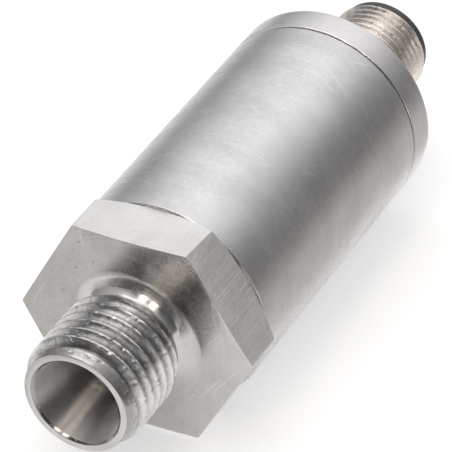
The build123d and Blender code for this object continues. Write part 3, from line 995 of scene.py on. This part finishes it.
    def wear(self, bm: bmesh.types.BMesh) -> None:
        """Knock the upper corner on the +X side down to a slanted facet.

        Args:
            bm: The hexagon.
        """
        half_side = self.half_flats / math.sqrt(3)
        on_top = Vector((half_side - self.wear_on_top, 0, self.half_flats))
        down = Vector((math.cos(SIXTH_TURN), 0, -math.sin(SIXTH_TURN)))
        on_side = Vector((half_side, 0, self.half_flats)) + self.wear_on_side * down
        at_rear = Vector((half_side, self.wear_length, self.half_flats))
        outward = (on_side - on_top).cross(at_rear - on_top).normalized()
        if outward.x < 0:
            outward = -outward
        cut = bmesh.ops.bisect_plane(
            bm, geom=bm.verts[:] + bm.edges[:] + bm.faces[:], dist=CUT_TOLERANCE, plane_co=on_top,
            plane_no=outward, clear_outer=True)
        rim = [item for item in cut["geom_cut"] if isinstance(item, bmesh.types.BMEdge)]
        bmesh.ops.contextual_create(bm, geom=rim)

    def soften(self, bm: bmesh.types.BMesh) -> None:
        """Round the long corner edges and the rim of the worn facet a little.

        Args:
            bm: The hexagon.
        """
        bmesh.ops.recalc_face_normals(bm, faces=bm.faces[:])
        limit = math.radians(self.softened_angle)
        long_edges = [
            edge for edge in bm.edges
            if len(edge.link_faces) == 2 and edge.calc_face_angle() > limit
            and abs(edge.verts[0].co.y - edge.verts[1].co.y) > self.softened_length
        ]
        bmesh.ops.bevel(
            bm, geom=long_edges, offset=self.corner_rounding, segments=2, profile=0.5,
            affect="EDGES", material=-1)

    def form(self) -> bmesh.types.BMesh:
        """Join the thread, the bore with the spigot, the collar and the hexagon.

        Returns:
            The piece in millimetres about the axis.
        """
        thread = self.thread()
        bm = thread.cut()
        join(bm, turned(self.inside_and_rear(thread.envelope)))
        join(bm, turned(self.collar(thread.envelope)))
        join(bm, self.hexagon())
        return bm

    def coat_of(self, middle: Vector, normal: Vector) -> str:
        """Pick the coat of the flats, the thread, the bore or the rest.

        Args:
            middle: Middle of a face.
            normal: Its normal.

        Returns:
            The coat's name.
        """
        radius = math.hypot(middle.x, middle.z)
        coat = ConnectionCoat.TURNED
        if radius > self.half_flats - self.flats_margin and abs(normal.y) < self.flats_tilt:
            coat = ConnectionCoat.DRAWN
        elif middle.y <= -self.relief_start:
            if radius < self.mouth_radius + self.bore_margin:
                coat = ConnectionCoat.REAMED
            elif radius > self.nose_face_radius + self.nose_margin or abs(normal.y) < self.nose_tilt:
                coat = ConnectionCoat.THREADED
        return coat.value


@dataclass
class HousingSleeve(Assembly):
    """Brushed steel tube between the hexagon and the joint groove."""

    name = "housing_sleeve"
    node = "housing_tube"
    slot = "housing_steel"
    coats = ("brushed_steel",)
    edge: float = 0.1

    def form(self) -> bmesh.types.BMesh:
        """Turn the tube.

        Returns:
            The piece in millimetres about the axis.
        """
        ends = [self.seat.station("housing_tube", at_end) for at_end in (False, True)]
        outside = self.seat.radius("housing_tube")
        inside = outside - HOUSING_WALL
        places = ((inside, ends[0]), (outside, ends[0]), (outside, ends[1]), (inside, ends[1]))
        return turned([Corner(radius, station, self.edge) for radius, station in places], closed=True)


@dataclass
class CapBody(Assembly):
    """Steel cap behind the joint groove, with its spigot inside the housing."""

    name = "cap_body"
    node = "end_cap"
    slot = "cap_steel"
    coats = ("smooth_cap_steel",)
    hole_radius: float = 6.27
    pocket_radius: float = 7.59
    tapped_radius: float = 8.04
    wall: float = 1.8
    groove_gap: float = 0.3
    groove_depth: float = 0.4
    ring_height: float = 1.1
    ring_groove_width: float = 1.9
    edge: float = 0.22
    tapped_rounding: float = 0.15
    front_rounding: float = 0.12
    inner_rounding: float = 0.08

    def form(self) -> bmesh.types.BMesh:
        """Turn the cap.

        Returns:
            The piece in millimetres about the axis.
        """
        outside = self.seat.radius("end_cap")
        start = self.seat.station("end_cap", False)
        end = self.seat.station("end_cap", True)
        housing_end = self.seat.station("housing_tube", True)
        spigot = self.seat.spigot()
        neck = outside - self.groove_depth
        floor = spigot + SLIDING_FIT - self.ring_height
        middle = (start + housing_end) / 2
        half = self.ring_groove_width / 2
        flange = self.seat.station("connector_lock_ring", True)
        return turned([
            Corner(self.tapped_radius, start, self.tapped_rounding),
            Corner(spigot, start, self.edge),
            Corner(spigot, middle - half, self.inner_rounding),
            Corner(floor, middle - half),
            Corner(floor, middle + half),
            Corner(spigot, middle + half, self.inner_rounding),
            Corner(spigot, housing_end),
            Corner(neck, housing_end),
            Corner(neck, housing_end + self.groove_gap),
            Corner(outside, housing_end + self.groove_gap, self.front_rounding),
            Corner(outside, end, self.edge),
            Corner(self.hole_radius, end, self.inner_rounding),
            Corner(self.hole_radius, end - self.wall),
            Corner(self.pocket_radius, end - self.wall),
            Corner(self.pocket_radius, flange),
            Corner(self.tapped_radius, flange),
        ], closed=True)


@dataclass
class PlugShell(Assembly):
    """Nickel plated shell with the outside thread of the round connector."""

    name = "plug_shell"
    node = "connector_shell"
    slot = "nickel_plate"
    coats = ("satin_nickel",)
    thread_radius: float = 5.94
    thread_pitch: float = 1.0
    thread_depth: float = 0.5
    thread_bevel: float = 0.5
    groove_angle: float = 150.0
    collar_radius: float = 6.24
    tail_radius: float = 5.54
    bore_radius: float = 4.9
    neck_radius: float = 4.1
    tail_rounding: float = 0.15
    flange_rounding: float = 0.12
    neck_rounding: float = 0.1
    lip_rounding: float = 0.08
    collar_rounding: float = 0.06

    def form(self) -> bmesh.types.BMesh:
        """Join the thread and the rest of the turned shell.

        Returns:
            The piece in millimetres about the axis.
        """
        start = self.seat.station("connector_shell", False)
        end = self.seat.station("connector_shell", True)
        cap_end = self.seat.station("end_cap", True)
        flange = self.seat.radius("connector_shell")
        flange_start = self.seat.station("connector_lock_ring", True)
        flange_end = self.seat.station("connector_o_ring", False) - SLIDING_FIT
        insert_start = self.seat.station("connector_insert", False)
        blank = (
            Corner(self.thread_radius, cap_end),
            Corner(self.thread_radius, end - self.thread_bevel),
            Corner(self.thread_radius - self.thread_bevel, end),
        )
        thread = ThreadForm(
            pitch=self.thread_pitch, depth=self.thread_depth, crest_share=0.22, root_share=0.16,
            envelope=blank, first_groove=cap_end + self.thread_pitch / 2,
            first_angle=math.radians(self.groove_angle), run_in=0.3, dent_depth=0.04, dent_spacing=0.7)
        bm = thread.cut()
        join(bm, turned([
            blank[-1],
            Corner(self.bore_radius, end, self.lip_rounding),
            Corner(self.bore_radius, insert_start),
            Corner(self.neck_radius, insert_start, self.neck_rounding),
            Corner(self.neck_radius, start, self.neck_rounding),
            Corner(self.tail_radius, start, self.tail_rounding),
            Corner(self.tail_radius, flange_start),
            Corner(flange, flange_start, self.flange_rounding),
            Corner(flange, flange_end, self.flange_rounding),
            Corner(self.collar_radius, flange_end),
            Corner(self.collar_radius, cap_end, self.collar_rounding),
            blank[0],
        ]))
        return bm


@dataclass
class PlugInsert(Assembly):
    """Black moulded insert with its rim, socket, key rib and pin holes."""

    name = "plug_insert"
    node = "connector_insert"
    slot = "black_plastic"
    coats = ("black_plastic",)
    bore_radius: float = 4.25
    shell_bore_radius: float = 4.87
    socket_depth: float = 8.0
    pin_circle_radius: float = 2.65
    pin_hole_radius: float = 0.53
    collar_hole_radius: float = 0.78
    collar_depth: float = 1.5
    pin_recess: float = 1.3
    key_width: float = 1.2
    key_height: float = 0.5
    key_gap: float = 0.1
    rim_rounding: float = 0.28
    shoulder_rounding: float = 0.08
    tolerance: float = 0.001
    wall_margin: float = 0.01
    hole_columns: int = 32

    def form(self) -> bmesh.types.BMesh:
        """Turn the insert and its pin holes, raise the key and close both floors.

        Returns:
            The piece in millimetres about the axis.
        """
        start = self.seat.station("connector_insert", False)
        end = self.seat.station("connector_insert", True)
        rim_start = self.seat.station("connector_shell", True)
        rim = self.seat.radius("connector_insert")
        floor = end - self.socket_depth
        bm = turned([
            Corner(self.shell_bore_radius, start),
            Corner(self.shell_bore_radius, rim_start),
            Corner(rim, rim_start, self.shoulder_rounding),
            Corner(rim, end, self.rim_rounding),
            Corner(self.bore_radius, end, self.rim_rounding),
            Corner(self.bore_radius, end - self.pin_recess),
            Corner(self.bore_radius, floor + self.key_gap),
            Corner(self.bore_radius, floor),
        ])
        self.raise_key(bm, floor + self.key_gap, end - self.pin_recess)
        for quarter in range(4):
            angle = quarter * math.pi / 2
            centre = (self.pin_circle_radius * math.cos(angle), self.pin_circle_radius * math.sin(angle))
            join(bm, turned([
                Corner(self.pin_hole_radius, floor),
                Corner(self.pin_hole_radius, start + self.collar_depth),
                Corner(self.collar_hole_radius, start + self.collar_depth),
                Corner(self.collar_hole_radius, start),
            ], columns=self.hole_columns, centre=centre))
        for station in (start, floor):
            rims = [
                edge for edge in bm.edges
                if edge.is_boundary
                and all(abs(vert.co.y - station) < self.tolerance for vert in edge.verts)
            ]
            bmesh.ops.triangle_fill(bm, use_beauty=True, use_dissolve=False, edges=rims)
        return bm

    def raise_key(self, bm: bmesh.types.BMesh, low: float, high: float) -> None:
        """Raise the key rib from the socket's wall, between two pins.

        Args:
            bm: The insert.
            low: Station where the rib starts.
            high: Station where it ends.
        """
        direction = Vector((1, 0, 1)).normalized()
        chosen = []
        for face in bm.faces:
            middle = face.calc_center_median()
            aside = (middle - direction * middle.dot(direction)).x * math.sqrt(2)
            inner = math.hypot(middle.x, middle.z) < self.bore_radius + self.wall_margin
            in_reach = low < middle.y < high and abs(aside) < self.key_width / 2
            if inner and in_reach and middle.dot(direction) > 0:
                chosen.append(face)
        raised = bmesh.ops.extrude_face_region(bm, geom=chosen)
        bmesh.ops.delete(bm, geom=chosen, context="FACES")
        verts = [item for item in raised["geom"] if isinstance(item, bmesh.types.BMVert)]
        bmesh.ops.translate(bm, verts=verts, vec=-direction * self.key_height)


def dress_inner_nodes(finishes: Finishes) -> None:
    """Give each node that keeps its own solid the finish of its slot.

    Args:
        finishes: The sensor's finishes.
    """
    for part in frame["record"]["subparts"]:
        node = frame["nodes"][part["node"]]
        if node.hide_render:
            continue
        material = finishes.slots[part["material_slot"]]
        for slot in node.material_slots:
            slot.link = "OBJECT"
            slot.material = material
        log.info("%s: dressed as %s", part["node"], material.name)


@dataclass(frozen=True)
class Card:
    """Flat sheet on the stage, with its two corners and its height in millimetres."""

    name: str
    low: Pair
    high: Pair
    height: float

    def lay(self, material: bpy.types.Material) -> bpy.types.Object:
        """Lay the sheet.

        Args:
            material: What it is made of.

        Returns:
            The sheet.
        """
        spans = [high - low for low, high in zip(self.low, self.high)]
        middle = [(high + low) / 2 for low, high in zip(self.low, self.high)]
        bm = bmesh.new()
        bmesh.ops.create_grid(bm, x_segments=1, y_segments=1, size=0.5)
        bmesh.ops.scale(bm, vec=(*spans, 1.0), verts=bm.verts)
        bmesh.ops.translate(bm, vec=(*middle, self.height), verts=bm.verts)
        bmesh.ops.scale(bm, vec=(MILLIMETRE,) * 3, verts=bm.verts)
        mesh = bpy.data.meshes.new(self.name)
        bm.to_mesh(mesh)
        bm.free()
        mesh.materials.append(material)
        sheet = bpy.data.objects.new(self.name, mesh)
        bpy.context.scene.collection.objects.link(sheet)
        return sheet


class Fade(Enum):
    """Which way a card's tone changes, by the part of a place that it follows."""

    ACROSS = 0
    ALONG = 1


@dataclass(frozen=True)
class Flag(Card):
    """Dull glowing card on the floor that only reflections see, as a photographer's flag.

    Its stops are places across or along in millimetres, each with the tone there.
    """

    fade: Fade
    stops: tuple[Pair, ...]
    warmth: float

    def build(self) -> None:
        """Lay the card, with its tone changing along one direction."""
        shader = Shader(self.name, 0.0)
        place = shader.spread(shader.place())[self.fade.value]
        (first, tone), *others = self.stops
        light = tone
        for last, next_tone in others:
            light = shader.total(light, shader.remap(place, first, last, 0.0, next_tone - tone))
            first, tone = last, next_tone
        tint = shader.node("ShaderNodeVectorMath", grey(1.0, self.warmth)[:3], operation="SCALE")
        glow = shader.fill(tint, Scale=light).outputs[0]
        card = self.lay(shader.surface(
            Base_Color=grey(0.0), Specular_IOR_Level=0.0, Emission_Color=glow, Emission_Strength=1.0))
        card.visible_camera = False
        card.visible_diffuse = False
        card.visible_shadow = False
        card.visible_transmission = False


@dataclass
class Studio:
    """Pale floor, soft light all round and the camera.

    The sky's tones go by the angle round the sensor's axis: one set of stops for the half behind
    the sensor, which the housing reflects, and one for the half in front, which the stud reflects.
    """

    floor_sheet: Card = Card("pale_floor", (-1500.0, -1500.0), (1500.0, 1500.0), 0.0)
    floor_glow: float = 0.52
    floor_tones: Pair = (0.5, 0.53)
    floor_grain: float = 0.02
    azimuth: float = 28.846
    elevation: float = 36.023
    roll: float = -2.61
    camera_place: Triple = (0.148862, -0.273661, 0.236890)
    lens: float = 276.19
    sensor: float = 36.0
    softbox_place: Triple = (-0.35, 0.63, 0.5)
    softbox_size: float = 0.4
    softbox_power: float = 0.2
    overhead_tone: float = 2.4
    ahead_tone: float = 0.13
    halves_meet: Pair = (-0.66, -0.42)
    ahead_range: Pair = (-0.93, -0.74)
    overhead_up: Pair = (0.62, 0.85)
    overhead_level: Pair = (0.3, 0.5)
    overhead_aside: Pair = (0.3, 0.42)
    overhead_shift: float = 0.15
    back_sky: tuple[Triple, ...] = (
        (-180, 0.9, 0.0), (-110, 0.5, 0.0), (-85, 0.3, 0.0), (-62, 0.64, -0.005), (-35, 0.98, 0.0),
        (-5, 1.15, 0.0), (14, 1.1, 0.0), (34, 0.8, 0.0), (56, 0.38, 0.0), (85, 0.16, 0.01),
        (110, 0.4, 0.03), (180, 0.9, 0.0),
    )
    front_sky: tuple[Triple, ...] = (
        (-180, 0.5, 0.0), (-90, 1.3, 0.01), (-84, 1.3, 0.01), (-76, 0.4, 0.01), (-48, 0.09, 0.0),
        (-5, 0.1, 0.03), (-2, 6.0, 0.12), (6, 6.0, 0.12), (9, 0.3, 0.05), (19, 0.3, 0.05),
        (21, 6.0, 0.12), (29, 6.0, 0.12), (33, 0.2, 0.02), (52, 0.07, 0.0), (92, 0.12, 0.0),
        (180, 0.5, 0.0),
    )
    flags: tuple[Flag, ...] = (
        Flag("right_flag", (13.0, -20.0), (1500.0, 1500.0), 0.3, Fade.ACROSS,
             ((13.0, 0.95), (15.0, 0.76), (21.0, 0.62), (33.0, 0.54), (70.0, 0.36), (200.0, 0.24)), 0.03),
        Flag("left_flag", (-1500.0, -20.0), (-36.0, 1500.0), 0.3, Fade.ACROSS,
             ((-220.0, 0.5), (-62.0, 0.8), (-38.0, 1.0)), 0.0),
        Flag("front_flag", (-60.0, -1500.0), (90.0, -62.0), 0.4, Fade.ALONG,
             ((-110.0, 0.1), (-62.0, 0.85)), 0.02),
        Flag("near_flag", (-40.0, -62.0), (-13.0, -24.0), 0.3, Fade.ACROSS,
             ((-40.0, 0.75), (-20.0, 0.78), (-13.0, 0.95)), 0.02),
    )

    def floor(self) -> None:
        """Lay the pale floor under the sensor."""
        shader = Shader(self.floor_sheet.name, 0.0)
        grain = shader.noise(shader.place(), self.floor_grain, 2.0)
        tones = [grey(tone) for tone in self.floor_tones]
        colour = shader.mix(shader.remap(grain, *NOISE_RANGE, 0.0, 1.0), *tones)
        self.floor_sheet.lay(shader.surface(
            Base_Color=colour, Roughness=0.9, Specular_IOR_Level=0.1, Emission_Color=grey(1.0),
            Emission_Strength=self.floor_glow))

    def sky(self) -> None:
        """Paint the sky: fair behind, dark in front with two bright strips, and bright overhead."""
        world = bpy.data.worlds.new("studio")
        bpy.context.scene.world = world
        world.use_nodes = True
        nodes = Nodes(world.node_tree)
        across, back, up = nodes.spread(nodes.node("ShaderNodeTexCoord").outputs["Generated"])
        turn = nodes.math("DIVIDE", nodes.math("ARCTAN2", across, up), FULL_TURN)
        share = nodes.math("ADD", turn, 0.5)
        behind = nodes.ramp(share, self.back_sky, "B_SPLINE")
        before = nodes.ramp(share, self.front_sky, "LINEAR")
        low_front = nodes.remap(back, *self.ahead_range, 1.0, 0.0)
        before = nodes.mix(low_front, before, grey(self.ahead_tone / SKY_STRENGTH))
        colour = nodes.mix(nodes.remap(back, *self.halves_meet, 0.0, 1.0), before, behind)
        level = nodes.math("ABSOLUTE", back)
        aside = nodes.math("ABSOLUTE", nodes.math("ADD", across, self.overhead_shift))
        overhead = nodes.times(
            nodes.remap(up, *self.overhead_up, 0.0, 1.0),
            nodes.remap(level, *self.overhead_level, 1.0, 0.0))
        overhead = nodes.times(overhead, nodes.remap(aside, *self.overhead_aside, 1.0, 0.0))
        colour = nodes.mix(overhead, colour, grey(self.overhead_tone / SKY_STRENGTH))
        background = nodes.node("ShaderNodeBackground", colour, SKY_STRENGTH)
        nodes.node("ShaderNodeOutputWorld", background.outputs[0])

    def softbox(self) -> None:
        """Hang a soft lamp behind the sensor on its left, which no reflection shows."""
        light = bpy.data.lights.new("back_left_softbox", "AREA")
        light.shape = "SQUARE"
        light.size = self.softbox_size
        light.energy = self.softbox_power
        lamp = bpy.data.objects.new("back_left_softbox", light)
        lamp.location = self.softbox_place
        lamp.rotation_euler = (-Vector(self.softbox_place)).to_track_quat("-Z", "Y").to_euler()
        lamp.visible_glossy = False
        bpy.context.scene.collection.objects.link(lamp)

    def camera(self) -> None:
        """Set the camera at the photograph's viewing angle."""
        data = bpy.data.cameras.new("camera")
        data.lens = self.lens
        data.sensor_width = self.sensor
        data.sensor_fit = "HORIZONTAL"
        data.clip_start = 0.01
        camera = bpy.data.objects.new("camera", data)
        turn = Matrix.Rotation(math.radians(self.azimuth), 4, "Z")
        tilt = Matrix.Rotation(math.radians(90 - self.elevation), 4, "X")
        roll = Matrix.Rotation(math.radians(self.roll), 4, "Z")
        camera.matrix_world = Matrix.Translation(self.camera_place) @ turn @ tilt @ roll
        bpy.context.scene.collection.objects.link(camera)
        bpy.context.scene.camera = camera

    def build(self) -> None:
        """Set up the floor, the light and the camera."""
        self.camera()
        self.floor()
        self.sky()
        for flag in self.flags:
            flag.build()
        self.softbox()
        bpy.context.scene.view_settings.view_transform = "Standard"


def main() -> None:
    """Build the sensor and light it."""
    logging.basicConfig(level=logging.INFO, format="%(name)s: %(message)s")
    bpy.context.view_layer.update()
    seat = Seat()
    finishes = Finishes(seat.axis_height)
    Studio().build()
    for assembly in (ProcessConnection, HousingSleeve, CapBody, PlugShell, PlugInsert):
        piece = assembly(seat, finishes).build()
        log.info("%s built", piece.name)
    dress_inner_nodes(finishes)


if __name__ == "__main__":
    main()
